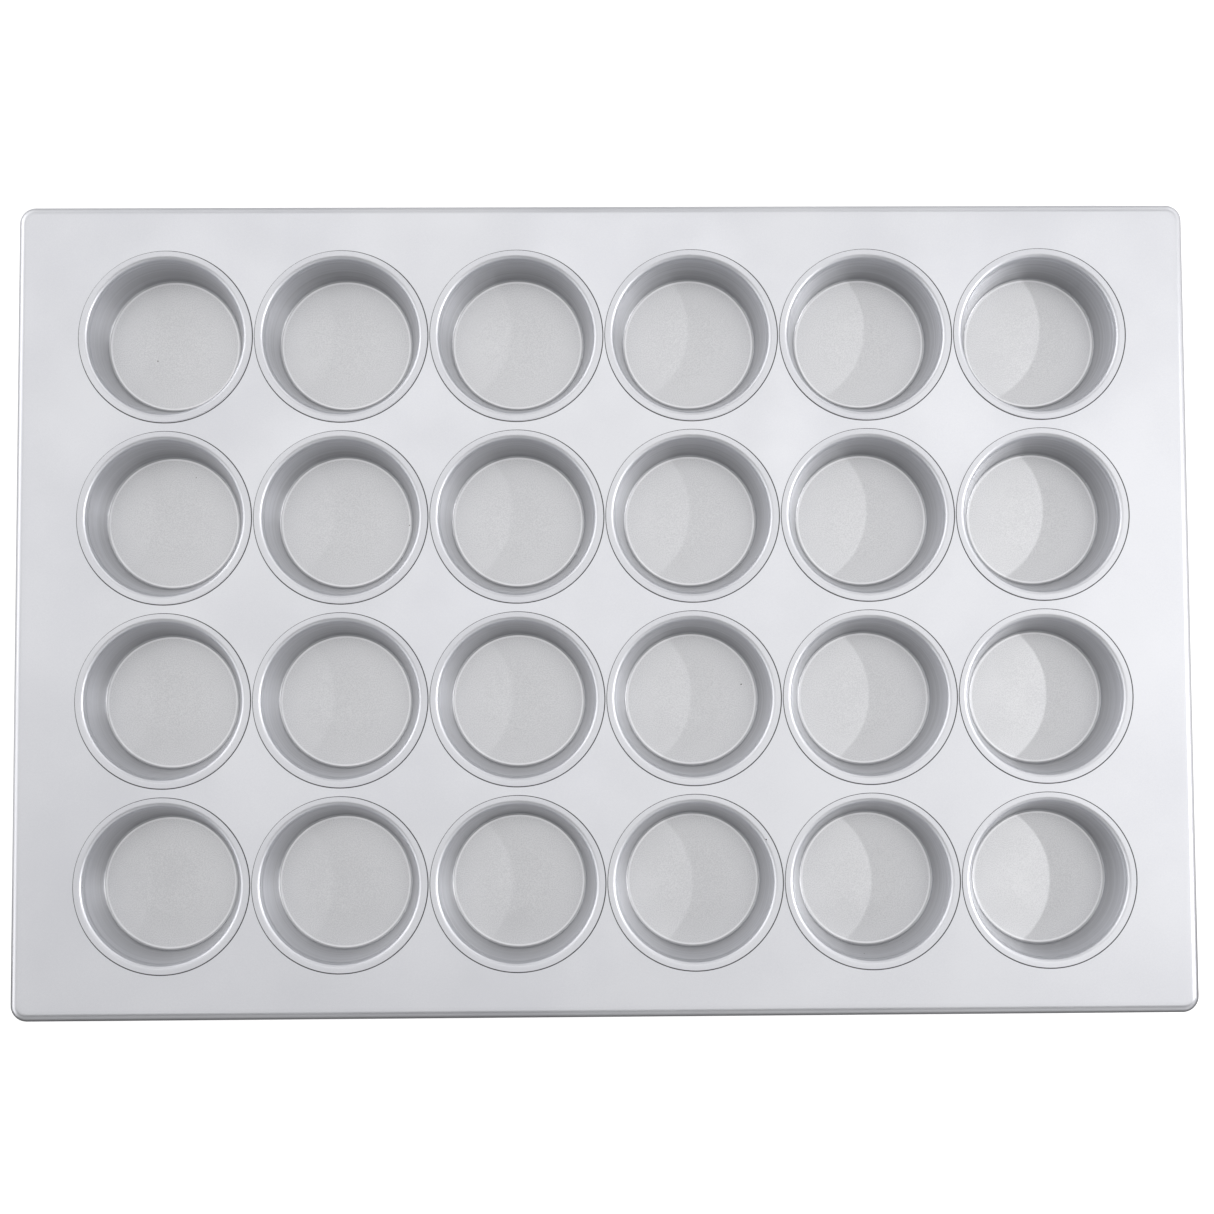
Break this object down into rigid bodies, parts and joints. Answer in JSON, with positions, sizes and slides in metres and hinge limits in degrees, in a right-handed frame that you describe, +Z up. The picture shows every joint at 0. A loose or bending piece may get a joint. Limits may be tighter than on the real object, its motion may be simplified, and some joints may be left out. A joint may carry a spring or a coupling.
{
  "type": "muffin tin",
  "caption": "Flat rectangular baking tin with rolled edges and a grid of deep round cups, each a separate drawn shell locked into the panel.",
  "frame": {"origin": "middle of the tin seen from above, on the plane that the cups' undersides stand on", "axes": "+X along the long side, +Y towards the back long side, +Z up out of the cups"},
  "size_m": [0.6572, 0.454, 0.0355],
  "materials": {
    "panel_steel": "glazed aluminised steel, satin",
    "cup_steel": "glazed aluminised steel, drawn, satin with fine speckle",
    "wire_steel": "plain drawn wire"
  },
  "bodies": {
    "root": {"frame_sheet": "panel_steel", "rim_wire": "wire_steel", "cup_r1_c1": "cup_steel", "cup_r1_c2": "cup_steel", "cup_r1_c3": "cup_steel", "cup_r1_c4": "cup_steel", "cup_r1_c5": "cup_steel", "cup_r1_c6": "cup_steel", "cup_r2_c1": "cup_steel", "cup_r2_c2": "cup_steel", "cup_r2_c3": "cup_steel", "cup_r2_c4": "cup_steel", "cup_r2_c5": "cup_steel", "cup_r2_c6": "cup_steel", "cup_r3_c1": "cup_steel", "cup_r3_c2": "cup_steel", "cup_r3_c3": "cup_steel", "cup_r3_c4": "cup_steel", "cup_r3_c5": "cup_steel", "cup_r3_c6": "cup_steel", "cup_r4_c1": "cup_steel", "cup_r4_c2": "cup_steel", "cup_r4_c3": "cup_steel", "cup_r4_c4": "cup_steel", "cup_r4_c5": "cup_steel", "cup_r4_c6": "cup_steel"}
  },
  "joints": []
}
